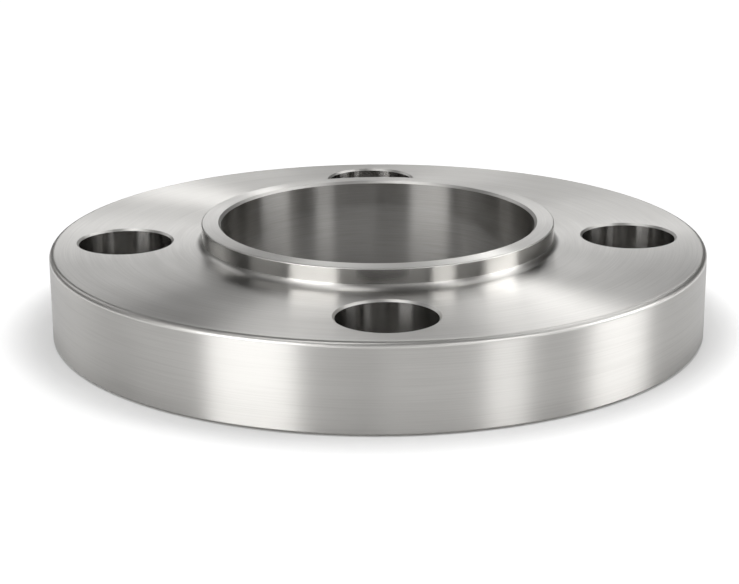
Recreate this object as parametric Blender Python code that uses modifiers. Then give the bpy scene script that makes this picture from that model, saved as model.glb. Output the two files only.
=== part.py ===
"""Hubbed slip-on pipe flange: one turned steel ring with a short hub and four bolt holes.

Metres, +Z up along the flange's axis. The gasket face lies on z = 0, centred on the origin,
the hub points up, and the bolt holes sit on the X and Y axes.
"""

from math import cos, pi, radians, sin

import bpy

# Driving sizes, worked outwards from the bore (metres)
BORE_DIAMETER = 0.0610          # takes a 60.3 mm pipe
HUB_WALL = 0.00375              # metal between the bore and the hub's side
HUB_TO_BOLT_HOLE = 0.00595      # flat land between the hub's side and a bolt hole
BOLT_HOLE_DIAMETER = 0.0180
BOLT_HOLE_TO_RIM = 0.0053       # metal left outside a bolt hole
BOLT_HOLE_COUNT = 4

# Heights (metres)
RIM_THICKNESS = 0.0165
HUB_RISE = 0.0040               # how far the hub stands above the bolting face

# Edge forms left by the lathe and the drill (metres)
RIM_TOP_ROUND = 0.0010
RIM_BOTTOM_CHAMFER = 0.0005
HUB_FILLET = 0.0012             # inside radius where the hub meets the bolting face
HUB_EDGE_CHAMFER = 0.0002
BORE_MOUTH_CHAMFER = 0.0005
BOLT_HOLE_CHAMFER = 0.0004
CUTTER_OVERRUN = 0.0005         # how far a drill passes beyond each face

# How finely round stretches are drawn
BODY_STEPS = 144
BOLT_HOLE_STEPS = 40
ROUND_SEGMENTS = 5
SHARP_ANGLE = radians(25.0)
MERGE_DISTANCE = 0.00001

# Radii and heights that follow from the sizes above
BORE_RADIUS = BORE_DIAMETER / 2
HUB_RADIUS = BORE_RADIUS + HUB_WALL
BOLT_HOLE_RADIUS = BOLT_HOLE_DIAMETER / 2
BOLT_CIRCLE_RADIUS = HUB_RADIUS + HUB_TO_BOLT_HOLE + BOLT_HOLE_RADIUS
FLANGE_RADIUS = BOLT_CIRCLE_RADIUS + BOLT_HOLE_RADIUS + BOLT_HOLE_TO_RIM
HUB_TOP = RIM_THICKNESS + HUB_RISE


def clear_scene():
    """Start from an empty scene."""
    for old in list(bpy.data.objects):
        bpy.data.objects.remove(old)


def new_collection(name):
    """A collection linked to the scene."""
    collection = bpy.data.collections.new(name)
    bpy.context.scene.collection.children.link(collection)
    return collection


def arc(centre_x, centre_z, radius, start, end):
    """Points along a circular arc in the XZ plane, its two ends included."""
    points = []
    for step in range(ROUND_SEGMENTS + 1):
        angle = start + (end - start) * step / ROUND_SEGMENTS
        points.append((centre_x + radius * cos(angle), centre_z + radius * sin(angle)))
    return points


def flange_profile():
    """Half section of the turned body: a closed outline, down the outside and up the bore."""
    hub_edge = [
        (HUB_RADIUS - HUB_EDGE_CHAMFER, HUB_TOP),
        (HUB_RADIUS, HUB_TOP - HUB_EDGE_CHAMFER),
    ]
    fillet = arc(HUB_RADIUS + HUB_FILLET, RIM_THICKNESS + HUB_FILLET, HUB_FILLET, pi, 1.5 * pi)
    rim_round = arc(FLANGE_RADIUS - RIM_TOP_ROUND, RIM_THICKNESS - RIM_TOP_ROUND, RIM_TOP_ROUND, pi / 2, 0.0)
    rim_foot = [
        (FLANGE_RADIUS, RIM_BOTTOM_CHAMFER),
        (FLANGE_RADIUS - RIM_BOTTOM_CHAMFER, 0.0),
    ]
    bore = [
        (BORE_RADIUS + BORE_MOUTH_CHAMFER, 0.0),
        (BORE_RADIUS, BORE_MOUTH_CHAMFER),
        (BORE_RADIUS, HUB_TOP - BORE_MOUTH_CHAMFER),
        (BORE_RADIUS + BORE_MOUTH_CHAMFER, HUB_TOP),
    ]
    return hub_edge + fillet + rim_round + rim_foot + bore


def bolt_hole_profile():
    """Half section of the drill that cuts a bolt hole and breaks its two edges at 45 degrees."""
    mouth_radius = BOLT_HOLE_RADIUS + BOLT_HOLE_CHAMFER + CUTTER_OVERRUN
    return [
        (0.0, RIM_THICKNESS + CUTTER_OVERRUN),
        (mouth_radius, RIM_THICKNESS + CUTTER_OVERRUN),
        (BOLT_HOLE_RADIUS, RIM_THICKNESS - BOLT_HOLE_CHAMFER),
        (BOLT_HOLE_RADIUS, BOLT_HOLE_CHAMFER),
        (mouth_radius, -CUTTER_OVERRUN),
        (0.0, -CUTTER_OVERRUN),
    ]


def turned(name, profile, steps, closed, collection):
    """An object that turns a profile in the XZ plane round the Z axis."""
    mesh = bpy.data.meshes.new(name)
    vertices = [(x, 0.0, z) for x, z in profile]
    edges = [(index, index + 1) for index in range(len(profile) - 1)]
    if closed:
        edges.append((len(profile) - 1, 0))
    mesh.from_pydata(vertices, edges, [])
    turned_object = bpy.data.objects.new(name, mesh)
    collection.objects.link(turned_object)
    screw = turned_object.modifiers.new("Turn", "SCREW")
    screw.axis = "Z"
    screw.steps = steps
    screw.render_steps = steps
    screw.use_merge_vertices = True
    screw.merge_threshold = MERGE_DISTANCE
    return turned_object


def drill_bolt_holes(flange, cutter_collection):
    """Cut the bolt holes, evenly spaced on the bolt circle, with one cutter for each hole."""
    for index in range(BOLT_HOLE_COUNT):
        angle = 2 * pi * index / BOLT_HOLE_COUNT
        cutter = turned(f"bolt_hole_drill_{index + 1}", bolt_hole_profile(), BOLT_HOLE_STEPS, False, cutter_collection)
        cutter.location = (BOLT_CIRCLE_RADIUS * cos(angle), BOLT_CIRCLE_RADIUS * sin(angle), 0.0)
        cutter.rotation_euler.z = angle
        cutter.display_type = "WIRE"
        cutter.hide_render = True
        cut = flange.modifiers.new(f"Bolt hole {index + 1}", "BOOLEAN")
        cut.operation = "DIFFERENCE"
        cut.solver = "EXACT"
        cut.object = cutter


def keep_cut_shape(flange):
    """Make the drilled shape the flange's own mesh, and shade it smooth between its sharp edges."""
    bpy.context.view_layer.update()
    evaluated = flange.evaluated_get(bpy.context.evaluated_depsgraph_get())
    drilled = bpy.data.meshes.new_from_object(evaluated)
    drilled.name = flange.name
    flange.modifiers.clear()
    flange.data = drilled
    drilled.shade_smooth()
    drilled.set_sharp_from_angle(angle=SHARP_ANGLE)


def turned_steel():
    """Bright machined stainless steel."""
    material = bpy.data.materials.new("turned_steel")
    material.use_nodes = True
    shader = material.node_tree.nodes["Principled BSDF"]
    shader.inputs["Base Color"].default_value = (0.60, 0.59, 0.57, 1.0)
    shader.inputs["Metallic"].default_value = 1.0
    shader.inputs["Roughness"].default_value = 0.30
    return material


def build():
    """The flange in one collection and its drills in another."""
    clear_scene()
    flange_collection = new_collection("Pipe flange")
    cutter_collection = new_collection("Cutters")
    flange = turned("flange", flange_profile(), BODY_STEPS, True, flange_collection)
    drill_bolt_holes(flange, cutter_collection)
    keep_cut_shape(flange)
    flange.data.materials.append(turned_steel())


build()
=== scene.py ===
# %% [markdown]
# # A turned steel pipe flange
#
# A pipe flange is a ring of steel that is welded to the end of a pipe, so that the pipe can be
# bolted to its neighbour. This one is a slip-on flange: the pipe passes through the bore and is
# welded to the short hub. Almost all of it comes off a lathe, and four drilled holes finish it.
#
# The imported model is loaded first. Its solid gives the sizes, and everything below is built round
# the same axis, with the gasket face on z = 0.

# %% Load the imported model
from math import cos, pi, radians, sin, tan

import bmesh
import bpy
from mathutils import Matrix, Vector


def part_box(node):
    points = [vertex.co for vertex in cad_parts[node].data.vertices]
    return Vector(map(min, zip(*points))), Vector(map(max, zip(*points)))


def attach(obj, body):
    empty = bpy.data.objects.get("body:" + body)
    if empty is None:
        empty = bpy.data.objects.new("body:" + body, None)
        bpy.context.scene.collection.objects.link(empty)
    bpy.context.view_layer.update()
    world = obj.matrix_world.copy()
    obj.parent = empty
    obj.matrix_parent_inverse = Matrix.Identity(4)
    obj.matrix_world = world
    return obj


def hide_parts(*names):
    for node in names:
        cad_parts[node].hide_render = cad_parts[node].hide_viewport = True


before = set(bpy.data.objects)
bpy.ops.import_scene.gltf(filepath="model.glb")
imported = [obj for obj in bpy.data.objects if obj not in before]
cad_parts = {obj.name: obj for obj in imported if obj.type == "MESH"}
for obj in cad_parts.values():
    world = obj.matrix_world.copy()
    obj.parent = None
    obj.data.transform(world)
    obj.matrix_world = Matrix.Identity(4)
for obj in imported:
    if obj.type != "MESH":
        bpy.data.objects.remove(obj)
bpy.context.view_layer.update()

MM = 0.001
low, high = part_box("flange")
FLANGE_RADIUS = (high[0] - low[0]) / 2
HUB_TOP = high[2]
print(f"flange {2 * FLANGE_RADIUS / MM:.1f} mm across and {HUB_TOP / MM:.1f} mm high")

# %% [markdown]
# ## Sizes read from the solid
#
# The bore, the hub and the rim's thickness could be typed in again, but then two files would have
# to agree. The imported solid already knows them: its vertices lie on the real edges. So the bore is
# the smallest radius found, and the bolting face is the highest level found outside the hub. The
# bolt hole on the +X side gives its own radius and that of the bolt circle.

# %% Measure the solid
END_MARGIN = 0.3 * MM
RING_MARGIN = 3 * MM
solid_points = [vertex.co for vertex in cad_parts["flange"].data.vertices]
BORE_RADIUS = min(point.xy.length for point in solid_points)
hub_points = [point for point in solid_points if point.z > HUB_TOP - END_MARGIN]
HUB_RADIUS = max(point.xy.length for point in hub_points)
rim_points = [point for point in solid_points if point.xy.length > HUB_RADIUS + RING_MARGIN]
RIM_THICKNESS = max(point.z for point in rim_points)
print(f"bore {2 * BORE_RADIUS / MM:.1f} and hub {2 * HUB_RADIUS / MM:.1f} mm across")
print(f"rim {RIM_THICKNESS / MM:.1f} mm thick")

inner_points = [point for point in rim_points if point.xy.length < FLANGE_RADIUS - RING_MARGIN]
hole_points = [point for point in inner_points if point.x > abs(point.y)]
hole_ends = [min(point.x for point in hole_points), max(point.x for point in hole_points)]
BOLT_CIRCLE_RADIUS = sum(hole_ends) / 2
HOLE_RADIUS = min((point.xy - Vector((BOLT_CIRCLE_RADIUS, 0))).length for point in hole_points)
print(f"bolt holes {2 * HOLE_RADIUS / MM:.1f} on a circle of {2 * BOLT_CIRCLE_RADIUS / MM:.1f} mm")

# %% [markdown]
# ## The outlines that the lathe cuts
#
# A turned part is a drawing spun round an axis, so each pass of the lathe is one outline of radius
# and height. The real part has no truly sharp corner: the rim has a small round, the hub meets the
# face in a fillet, and the bore has a chamfer at each end. Those small forms catch the light.
#
# A round that runs straight into a flat would bend the flat's shading, because a vertex shares one
# normal between both. A narrow guard band beside each round keeps that bend to a hair's width.

# %% Edge forms and how finely they are drawn
RIM_ROUND = 1.0 * MM
RIM_FOOT_CHAMFER = 0.5 * MM
HUB_FILLET = 1.2 * MM
HUB_EDGE_ROUND = 0.25 * MM
BORE_CHAMFER = 0.5 * MM
GUARD_BAND = 0.15 * MM
GROOVE_PITCH = 0.5 * MM
GROOVE_DEPTH = 0.08 * MM
GROOVE_COUNT = 14
TURN_STEPS = 360
ROUND_STEPS = 10


def arc(centre_radius, centre_height, size, start, end):
    """Points along a quarter round of an outline, from one angle in degrees to the other."""
    turn = (end - start) / ROUND_STEPS
    angles = [radians(start + turn * step) for step in range(ROUND_STEPS + 1)]
    return [(centre_radius + size * cos(a), centre_height + size * sin(a)) for a in angles]


# %% The rim, from the bolting face out and down to the floor
rim_outline = [(FLANGE_RADIUS - RIM_ROUND - GUARD_BAND, RIM_THICKNESS)]
rim_outline += arc(FLANGE_RADIUS - RIM_ROUND, RIM_THICKNESS - RIM_ROUND, RIM_ROUND, 90, 0)
rim_outline += [
    (FLANGE_RADIUS, RIM_THICKNESS - RIM_ROUND - GUARD_BAND),
    (FLANGE_RADIUS, RIM_FOOT_CHAMFER),
    (FLANGE_RADIUS - RIM_FOOT_CHAMFER, 0),
]
print(f"the rim is {len(rim_outline)} points")

# %% [markdown]
# ## The gasket face
#
# Round the bore, the underside of a flange carries fine ring-shaped grooves that bite into the
# gasket. They could be a bump pattern, but they are the one thing to see from below, so they are
# cut as real grooves: the outline simply dips at every pitch.

# %% The hub, from the bolting face up, over, down the bore and across the grooves
hub_outline = [(HUB_RADIUS + HUB_FILLET + GUARD_BAND, RIM_THICKNESS)]
hub_outline += arc(HUB_RADIUS + HUB_FILLET, RIM_THICKNESS + HUB_FILLET, HUB_FILLET, 270, 180)
hub_outline += [
    (HUB_RADIUS, RIM_THICKNESS + HUB_FILLET + GUARD_BAND),
    (HUB_RADIUS, HUB_TOP - HUB_EDGE_ROUND - GUARD_BAND),
]
hub_outline += arc(HUB_RADIUS - HUB_EDGE_ROUND, HUB_TOP - HUB_EDGE_ROUND, HUB_EDGE_ROUND, 0, 90)
hub_outline += [
    (HUB_RADIUS - HUB_EDGE_ROUND - GUARD_BAND, HUB_TOP),
    (BORE_RADIUS + BORE_CHAMFER, HUB_TOP),
    (BORE_RADIUS, HUB_TOP - BORE_CHAMFER),
    (BORE_RADIUS, BORE_CHAMFER),
    (BORE_RADIUS + BORE_CHAMFER, 0),
]
groove_start = BORE_RADIUS + 2 * BORE_CHAMFER
for groove in range(GROOVE_COUNT):
    groove_radius = groove_start + groove * GROOVE_PITCH
    hub_outline += [(groove_radius, 0), (groove_radius + GROOVE_PITCH / 2, GROOVE_DEPTH)]
groove_end = groove_start + GROOVE_COUNT * GROOVE_PITCH
hub_outline.append((groove_end, 0))
print(f"the hub is {len(hub_outline)} points, its grooves end at radius {groove_end / MM:.1f} mm")

# %% [markdown]
# ## Turning and drilling
#
# Each outline becomes a chain of edges, and the spin operator sweeps it round its axis. A bolt hole
# is the same job on a smaller scale: a short outline with a chamfer at each end, spun round the
# hole's own axis. Cutting the holes with a Boolean would work too, but spinning them gives clean
# rings that the flat faces can be filled up to.

# %% Spin an outline round an upright axis
HOLE_CHAMFER = 0.4 * MM
HOLE_COUNT = 4
HOLE_STEPS = 96
LEVEL_TOLERANCE = 0.001 * MM
hole_outline = [
    (HOLE_RADIUS + HOLE_CHAMFER, RIM_THICKNESS),
    (HOLE_RADIUS, RIM_THICKNESS - HOLE_CHAMFER),
    (HOLE_RADIUS, HOLE_CHAMFER),
    (HOLE_RADIUS + HOLE_CHAMFER, 0),
]
hole_axes = []
for hole in range(HOLE_COUNT):
    turn = radians(360 * hole / HOLE_COUNT)
    hole_axes.append(Vector((BOLT_CIRCLE_RADIUS * cos(turn), BOLT_CIRCLE_RADIUS * sin(turn), 0)))


def lathe(bm, outline, axis, steps):
    """Spin an outline of (radius, height) points round an upright axis."""
    points = [bm.verts.new(axis + Vector((radius, 0, height))) for radius, height in outline]
    chain = [bm.edges.new(pair) for pair in zip(points, points[1:])]
    bmesh.ops.spin(
        bm, geom=points + chain, cent=axis, axis=(0, 0, 1), dvec=(0, 0, 0),
        angle=2 * pi, steps=steps, use_merge=True, use_duplicate=False,
    )


def fill_level(bm, height):
    """Fill the flat face between the open rings that lie at one height."""
    level = {vertex for vertex in bm.verts if abs(vertex.co.z - height) < LEVEL_TOLERANCE}
    rings = [edge for edge in bm.edges if edge.is_boundary and level.issuperset(edge.verts)]
    bmesh.ops.triangle_fill(bm, use_beauty=True, use_dissolve=False, edges=rings)
    return len(rings)


# %% Build the whole flange as one closed skin
flange_mesh = bmesh.new()
lathe(flange_mesh, rim_outline, Vector((0, 0, 0)), TURN_STEPS)
lathe(flange_mesh, hub_outline, Vector((0, 0, 0)), TURN_STEPS)
for hole_axis in hole_axes:
    lathe(flange_mesh, hole_outline, hole_axis, HOLE_STEPS)
for level in (RIM_THICKNESS, 0):
    print(f"filled the face at {level / MM:.1f} mm between {fill_level(flange_mesh, level)} edges")
bmesh.ops.recalc_face_normals(flange_mesh, faces=flange_mesh.faces[:])
open_edges = [edge for edge in flange_mesh.edges if not edge.is_manifold]
volume = flange_mesh.calc_volume() * 1e6
print(f"{len(flange_mesh.faces)} faces, {len(open_edges)} open edges, {volume:.1f} cm3")

# %% [markdown]
# ## One skin, several finishes
#
# The whole flange is one forging, but a lathe leaves each surface a little different: the wide face
# is fine turned, the hub is polished and meets the face in a duller fillet, and the rim is dull too.
# The bore and the drilled holes get a darker colour, which is painted shade for their hollows, and
# the rim a slightly lighter one, which is painted light. So the skin stays one mesh, and each face is
# given the finish of the surface it lies on. The height, the radius and the way a face looks are
# enough to tell the surfaces apart.

# %% Sort the faces by surface
FINISHES = (
    "turned_face", "turned_rim", "polished_hub", "turned_fillet",
    "bored_wall", "broken_edge", "drilled_wall",
)
FACE, RIM, HUB, FILLET, BORE, EDGE, DRILLED = range(len(FINISHES))
SHARP_ANGLE = radians(15)
FLAT = 0.999
WALL_LEAN = 0.1
RIM_LEAN = 0.05
WALL_MARGIN = 0.1 * MM
FACE_MARGIN = 0.01 * MM


def finish_of(face):
    """The index of the finish that a face of the skin has."""
    centre = face.calc_center_median()
    radius = centre.xy.length
    upward = abs(face.normal.z)
    if upward > FLAT:
        return FACE
    if min((centre.xy - axis.xy).length for axis in hole_axes) < HOLE_RADIUS + HOLE_CHAMFER:
        return DRILLED if upward < WALL_LEAN else EDGE
    if radius < BORE_RADIUS + WALL_MARGIN:
        return BORE
    if radius < BORE_RADIUS + BORE_CHAMFER:
        return EDGE
    if centre.z > HUB_TOP - HUB_EDGE_ROUND:
        return EDGE
    if radius < HUB_RADIUS + HUB_FILLET and centre.z > RIM_THICKNESS - FACE_MARGIN:
        return HUB if upward < WALL_LEAN else FILLET
    if radius > FLANGE_RADIUS - RIM_ROUND - GUARD_BAND:
        return RIM if upward < RIM_LEAN else EDGE
    return FACE


for face in flange_mesh.faces:
    face.smooth = True
    face.material_index = finish_of(face)
for edge in flange_mesh.edges:
    edge.smooth = edge.calc_face_angle() < SHARP_ANGLE
found = [face.material_index for face in flange_mesh.faces]
print("faces by finish:", {name: found.count(index) for index, name in enumerate(FINISHES)})

# %% Turn the skin into an object that stands for the solid
flange_data = bpy.data.meshes.new("turned_flange")
flange_mesh.to_mesh(flange_data)
flange_mesh.free()
flange = bpy.data.objects.new("turned_flange", flange_data)
bpy.context.scene.collection.objects.link(flange)
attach(flange, "root")
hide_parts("flange")
print(f"{flange.name} has {len(flange_data.polygons)} faces")

# %% [markdown]
# ## Shader maths as formulas
#
# A procedural pattern is a sum of simple signals, such as the distance from the axis or a noise. In
# the node editor each sum is one more Math node. Here a small class wraps a socket, so that a
# formula on signals adds those nodes itself, and a pattern can be read as it is worked out.

# %% Wrap a socket
class Signal:
    """One output of a material's nodes, with arithmetic that adds Math nodes."""

    def __init__(self, socket):
        self.socket = socket

    @staticmethod
    def node(tree, kind, settings, inputs, output=0):
        """Add a node, set it up, fill or link its inputs and wrap one of its outputs."""
        node = tree.nodes.new(kind)
        for name, value in settings.items():
            setattr(node, name, value)
        for name, value in inputs.items():
            if isinstance(value, Signal):
                tree.links.new(value.socket, node.inputs[name])
            else:
                node.inputs[name].default_value = value
        return Signal(node.outputs[output])

    def maths(self, operation, *others):
        """The signal of a Math node on this signal and up to two others."""
        inputs = dict(enumerate((self, *others)))
        return Signal.node(self.socket.id_data, "ShaderNodeMath", {"operation": operation}, inputs)

    def __add__(self, other):
        return self.maths("ADD", other)

    def __sub__(self, other):
        return self.maths("SUBTRACT", other)

    def __mul__(self, other):
        return self.maths("MULTIPLY", other)

    def __truediv__(self, other):
        return self.maths("DIVIDE", other)


# %% [markdown]
# ## The marks that a lathe leaves
#
# A turning tool draws one endless fine groove round the axis, so the marks are long in one direction
# and very short in the other. A noise gives that when its coordinates are stretched: far apart
# across the grooves, close together along them. On a flat face the grooves lie at one radius, and on
# a wall they lie at one height. Direction alone, x and y over the radius, closes the pattern without
# a seam.
#
# The grooves are too fine to see one by one. What shows is their shine: a highlight spreads across
# the grooves and stays narrow along them. The shader's anisotropy does that, and a quarter turn of
# its direction sets the spread across the rings.
#
# Two more numbers tell the surfaces apart. A share of polish mixes in brighter, smoother steel, as in
# the bore, where the tool has rubbed as well as cut. The painted shade moves the colour towards darker
# steel: in the bore and the drilled holes it stands for the shade in those hollows, and on the rim a
# negative value makes the colour lighter, as painted light.
# The face and the bore stay rougher than 0.28 nearly everywhere: near 0.27 the denoiser starts to
# treat steel as a mirror, and a finish that crosses that level gets false little scratches.

# %% Make one turned finish
STEEL = (0.60, 0.59, 0.57, 1)
# The colour runs towards this darker steel with real wear and grooves, and with the painted shade.
DARKER_STEEL = (0.40, 0.39, 0.375, 1)
POLISHED_ROUGHNESS = 0.07
ACROSS_THE_GROOVES = 0.25
GROOVE_TURNS = 3
BAND_TURNS = 1.5
GROOVES_PER_BAND = 12
SMUDGE_SCALE = 60
SMUDGE_SHARE = 0.6
GROOVE_SHARE = 0.5
WEAR_TINT = 1.5
GROOVE_TINT = 4
PLAIN_TINT = 0.15


def turned_finish(
    name, roughness, anisotropy, groove_pitch, groove_depth, streaks, across, polish=0.0, painted_shade=0.0,
):
    """A steel finish whose tool marks run round the axis; a share of it can be polished bright."""
    material = bpy.data.materials.new(name)
    material.use_nodes = True
    tree = material.node_tree
    grooved = tree.nodes["Principled BSDF"]
    place = Signal.node(tree, "ShaderNodeTexCoord", {}, {}, "Object")
    x, y, z = (Signal.node(tree, "ShaderNodeSeparateXYZ", {}, {0: place}, axis) for axis in "XYZ")
    radius = (x * x + y * y).maths("SQRT")
    depth = radius if across == "radius" else z

    def marks(pitch, turns, detail):
        """Noise whose marks are one pitch wide and run a good part of the way round."""
        inputs = {"X": x / radius * turns, "Y": y / radius * turns, "Z": depth / pitch}
        stretched = Signal.node(tree, "ShaderNodeCombineXYZ", {}, inputs)
        noise = {"Vector": stretched, "Scale": 1.0, "Detail": detail, "Roughness": 0.6}
        return Signal.node(tree, "ShaderNodeTexNoise", {}, noise, "Fac")

    grooves = marks(groove_pitch, GROOVE_TURNS, 2)
    bands = marks(GROOVES_PER_BAND * groove_pitch, BAND_TURNS, 3)
    smudge_noise = {"Vector": place, "Scale": SMUDGE_SCALE, "Detail": 4}
    smudges = Signal.node(tree, "ShaderNodeTexNoise", {}, smudge_noise, "Fac")

    wear = (bands - 0.5) * streaks + (smudges - 0.5) * streaks * SMUDGE_SHARE
    fine = (grooves - 0.5) * streaks
    rough = (wear + fine * GROOVE_SHARE) * roughness + roughness
    # The colour mixes real wear and groove tone with painted shade: darker steel in the bore and holes, and
    # lighter steel on the rim as painted light.
    wear_grain_and_painted_shade = wear * WEAR_TINT + fine * GROOVE_TINT + PLAIN_TINT + painted_shade
    steels = {0: wear_grain_and_painted_shade, 6: STEEL, 7: DARKER_STEEL}
    steel = Signal.node(tree, "ShaderNodeMix", {"data_type": "RGBA"}, steels, 2)
    relief = {"Strength": 1, "Distance": groove_depth, "Height": grooves}
    bump = Signal.node(tree, "ShaderNodeBump", {}, relief)

    grooved.inputs["Metallic"].default_value = 1
    grooved.inputs["Anisotropic"].default_value = anisotropy
    grooved.inputs["Anisotropic Rotation"].default_value = ACROSS_THE_GROOVES
    tree.links.new(rough.socket, grooved.inputs["Roughness"])
    tree.links.new(steel.socket, grooved.inputs["Base Color"])
    tree.links.new(bump.socket, grooved.inputs["Normal"])
    if polish:
        bright = {"Base Color": steel, "Metallic": 1.0, "Roughness": POLISHED_ROUGHNESS}
        bright = Signal.node(tree, "ShaderNodeBsdfPrincipled", {}, bright)
        both = {0: polish, 1: Signal(grooved.outputs[0]), 2: bright}
        both = Signal.node(tree, "ShaderNodeMixShader", {}, both)
        tree.links.new(both.socket, tree.nodes["Material Output"].inputs["Surface"])
    flange_data.materials.append(material)
    print(f"{name}: roughness {roughness}, {len(tree.nodes)} nodes")


# %% Give each surface its finish
# The last number on the rim, the bore and the drilled walls is painted: it darkens the bore and the drilled
# holes as painted shade for their hollows, and it lightens the rim as painted light.
turned_finish("turned_face", 0.31, 1.0, 0.25 * MM, 0.0004 * MM, 0.2, "radius")
turned_finish("turned_rim", 0.40, 1.0, 0.25 * MM, 0.001 * MM, 0.16, "height", painted_shade=-0.1)
turned_finish("polished_hub", 0.18, 0.9, 0.10 * MM, 0.0003 * MM, 0.2, "height")
turned_finish("turned_fillet", 0.40, 0.9, 0.10 * MM, 0.0003 * MM, 0.2, "height")
turned_finish("bored_wall", 0.31, 1.0, 0.20 * MM, 0.0005 * MM, 0.2, "height", polish=0.4, painted_shade=0.6)
turned_finish("broken_edge", 0.40, 0.0, 0.10 * MM, 0.0003 * MM, 0.2, "height")
turned_finish("drilled_wall", 0.18, 1.0, 0.25 * MM, 0.002 * MM, 0.3, "height", painted_shade=0.5)

# %% [markdown]
# ## A white floor with a soft shadow
#
# Steel has hardly any colour of its own, it shows what stands round it. So the floor matters twice:
# it is the white ground of the picture, and it is what the rim mirrors. A plain white floor under
# soft lamps would come out grey, so it also glows a little for the camera and for reflections. The
# glow fades out towards the flange, which paints a soft shadow round its foot, and it is absent
# inside the flange, which paints the shade that a real table has there.
#
# From below the floor can be seen through, so that the gasket face can be looked at as well. A ray
# that has come up through it finds no floor on its way back either. The floor lies a hair under the
# flange, because two faces at one height would fight over which of them is seen.

# %% Lay the floor
FLOOR_GREY = (0.7, 0.7, 0.7, 1)
FLOOR_REACH = 4.0
GLOW_IN_PAINTED_SHADOW = 0.22
GLOW_OUTSIDE = 0.62
PAINTED_SHADOW_WIDTH = 12 * MM
FLOOR_GAP = 0.05 * MM


def staged(name, bm, material):
    """Make a mesh that stands round the object and is no part of it."""
    data = bpy.data.meshes.new(name)
    bm.to_mesh(data)
    bm.free()
    data.materials.append(material)
    thing = bpy.data.objects.new(name, data)
    bpy.context.scene.collection.objects.link(thing)
    return thing


def seen_or_mirrored(tree):
    """1 for a ray from the camera, or for one that steel or glass has bent, and 0 for all others."""
    kinds = ("Is Camera Ray", "Is Glossy Ray", "Is Transmission Ray")
    camera_ray, glossy_ray, glass_ray = (
        Signal.node(tree, "ShaderNodeLightPath", {}, {}, kind) for kind in kinds
    )
    return camera_ray.maths("MAXIMUM", glossy_ray).maths("MAXIMUM", glass_ray)


floor_paint = bpy.data.materials.new("floor_paint")
floor_paint.use_nodes = True
floor_tree = floor_paint.node_tree
floor_shader = floor_tree.nodes["Principled BSDF"]
floor_shader.inputs["Base Color"].default_value = FLOOR_GREY
floor_shader.inputs["Roughness"].default_value = 1
floor_shader.inputs["Specular IOR Level"].default_value = 0
floor_shader.inputs["Emission Strength"].default_value = 1
floor_place = Signal.node(floor_tree, "ShaderNodeTexCoord", {}, {}, "Object")
length = {"operation": "LENGTH"}
floor_radius = Signal.node(floor_tree, "ShaderNodeVectorMath", length, {0: floor_place}, "Value")
# The glow falls from its outside level to a low one at the rim: a painted shadow round the flange's foot.
painted_shadow_range = {
    "Value": floor_radius, "From Min": FLANGE_RADIUS, "From Max": FLANGE_RADIUS + PAINTED_SHADOW_WIDTH,
    "To Min": GLOW_IN_PAINTED_SHADOW, "To Max": GLOW_OUTSIDE,
}
glow_with_painted_shadow = Signal.node(floor_tree, "ShaderNodeMapRange", {"interpolation_type": "SMOOTHSTEP"}, painted_shadow_range)
# No glow inside the flange: painted shade on the floor that is seen through the bore and the holes.
outside_painted_shade = floor_radius.maths("GREATER_THAN", FLANGE_RADIUS)
glow_with_painted_shadow = glow_with_painted_shadow * outside_painted_shade * seen_or_mirrored(floor_tree)
floor_tree.links.new(glow_with_painted_shadow.socket, floor_shader.inputs["Emission Color"])

from_below = Signal.node(floor_tree, "ShaderNodeNewGeometry", {}, {}, "Backfacing")
came_through = Signal.node(floor_tree, "ShaderNodeLightPath", {}, {}, "Transparent Depth")
unseen = from_below.maths("MAXIMUM", came_through.maths("GREATER_THAN", 0.5))
clear = Signal.node(floor_tree, "ShaderNodeBsdfTransparent", {}, {})
one_sided = {0: unseen, 1: Signal(floor_shader.outputs[0]), 2: clear}
one_sided = Signal.node(floor_tree, "ShaderNodeMixShader", {}, one_sided)
floor_tree.links.new(one_sided.socket, floor_tree.nodes["Material Output"].inputs["Surface"])

floor_grid = bmesh.new()
floor_level = Matrix.Translation((0, 0, -FLOOR_GAP))
bmesh.ops.create_grid(floor_grid, x_segments=1, y_segments=1, size=FLOOR_REACH, matrix=floor_level)
floor = staged("floor", floor_grid, floor_paint)
print(f"{floor.name} reaches {FLOOR_REACH} m from the flange")

# %% [markdown]
# ## A dark room with softboxes
#
# A photographer who wants steel to look like steel keeps the room dark and lets only a few soft
# panels shine on it, so that bright bands stand beside dark ones. Here a dark tent hides the pale
# surroundings from everything except the camera. Inside it stand the softboxes: each is placed by
# its compass direction and height above the floor in degrees, and all are one metre away. The last
# one stands under the floor, so it lights the gasket face and adds nothing to views from above.

# %% Hang the tent and paint the surroundings
TENT_RADIUS = 2.5
TENT_BLACK = (0.02, 0.02, 0.02, 1)
tent_cloth = bpy.data.materials.new("tent_cloth")
tent_cloth.use_nodes = True
tent_shader = tent_cloth.node_tree.nodes["Principled BSDF"]
tent_shader.inputs["Base Color"].default_value = TENT_BLACK
tent_shader.inputs["Roughness"].default_value = 1
tent_shell = bmesh.new()
bmesh.ops.create_icosphere(tent_shell, subdivisions=4, radius=TENT_RADIUS)
tent = staged("dark_tent", tent_shell, tent_cloth)
tent.visible_camera = False

room = bpy.data.worlds.new("pale_room")
bpy.context.scene.world = room
room.use_nodes = True
room_tree = room.node_tree
room_light = room_tree.nodes["Background"]
room_light.inputs["Strength"].default_value = 1
room_tree.links.new(seen_or_mirrored(room_tree).socket, room_light.inputs["Color"])

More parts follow.
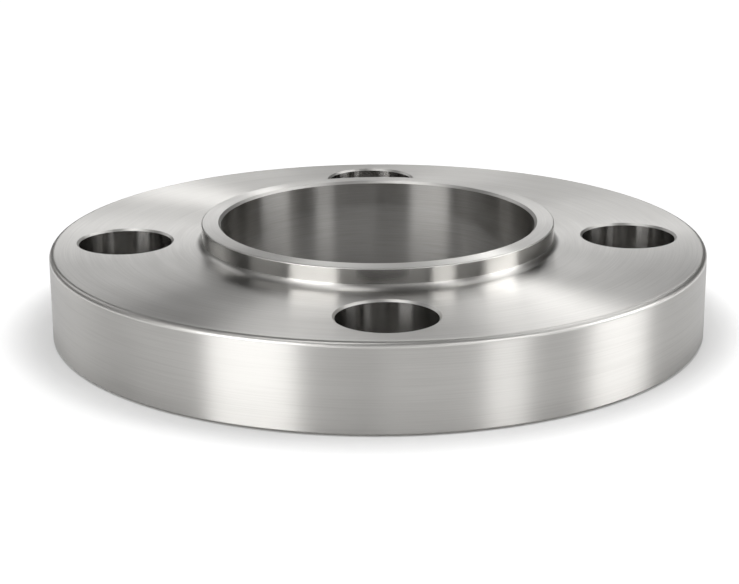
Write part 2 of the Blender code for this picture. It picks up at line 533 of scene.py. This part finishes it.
# %% Stand the softboxes round the flange
LAMP_DISTANCE = 1.0
SOFTBOXES = {
    # name: compass direction, height, half width and half height in degrees, brightness
    "key_front_left": (227, 17, 15, 11, 7),
    "fill_front": (284, 20, 14, 10, 1.2),
    "strip_front_right": (310, 19, 7, 10, 6),
    "tall_right": (354, 17, 13, 13, 5),
    "low_back": (90, 18, 18, 9, 1),
    "high_back": (84, 35, 12, 14, 1.1),
    "strip_back_right": (60, 46, 9, 4, 3.8),
    "corner_back_right": (40, 50, 8, 6, 3),
    "side_right": (15, 46, 10, 8, 2),
    "high_right": (350, 60, 8, 6, 3.6),
    "high_left": (205, 66, 12, 9, 2),
    "top_front": (241, 69, 8, 9, 3),
    "side_left": (190, 30, 12, 12, 1),
    "back_left": (138, 30, 12, 12, 1.2),
    "panel_below": (90, -80, 50, 50, 0.8),
}


def softbox(name, direction, height, half_width, half_height, brightness):
    """A soft panel that faces the flange, whose brightness 1 is as bright as white paper."""
    lamp = bpy.data.lights.new(name, "AREA")
    lamp.shape = "RECTANGLE"
    lamp.size = 2 * LAMP_DISTANCE * tan(radians(half_width))
    lamp.size_y = 2 * LAMP_DISTANCE * tan(radians(half_height))
    lamp.energy = brightness * pi * lamp.size * lamp.size_y
    box = bpy.data.objects.new(name, lamp)
    bpy.context.scene.collection.objects.link(box)
    turn = radians(direction)
    level = cos(radians(height))
    towards = Vector((level * cos(turn), level * sin(turn), sin(radians(height))))
    facing = towards.to_track_quat("Z", "Y").to_matrix().to_4x4()
    box.matrix_world = Matrix.Translation(towards * LAMP_DISTANCE) @ facing
    box.visible_camera = False
    print(f"{name}: {lamp.size:.2f} by {lamp.size_y:.2f} m, {lamp.energy:.1f} W")


for box_name, setting in SOFTBOXES.items():
    softbox(box_name, *setting)

# %% [markdown]
# ## The camera
#
# The photograph looks down on the flange at about sixteen degrees, with one bolt hole at the front.
# The lens is long but the camera stands close, so the far side is drawn a little smaller than the
# near one.

# %% Set up the camera
camera_data = bpy.data.cameras.new("camera")
camera_data.sensor_width = 36
camera_data.lens = 91.69
camera_data.clip_start = 0.01
camera = bpy.data.objects.new("camera", camera_data)
bpy.context.scene.collection.objects.link(camera)
bpy.context.scene.camera = camera
camera_roll = radians(-0.26)
camera_place = Vector((-11.14, -354.5, 115.38)) * MM
camera_target = Vector((-1.69, -1.19, 5.89)) * MM
camera_turn = (camera_target - camera_place).to_track_quat("-Z", "Y").to_matrix().to_4x4()
camera_turn = camera_turn @ Matrix.Rotation(camera_roll, 4, "Z")
camera.matrix_world = Matrix.Translation(camera_place) @ camera_turn
bpy.context.scene.view_settings.view_transform = "Standard"
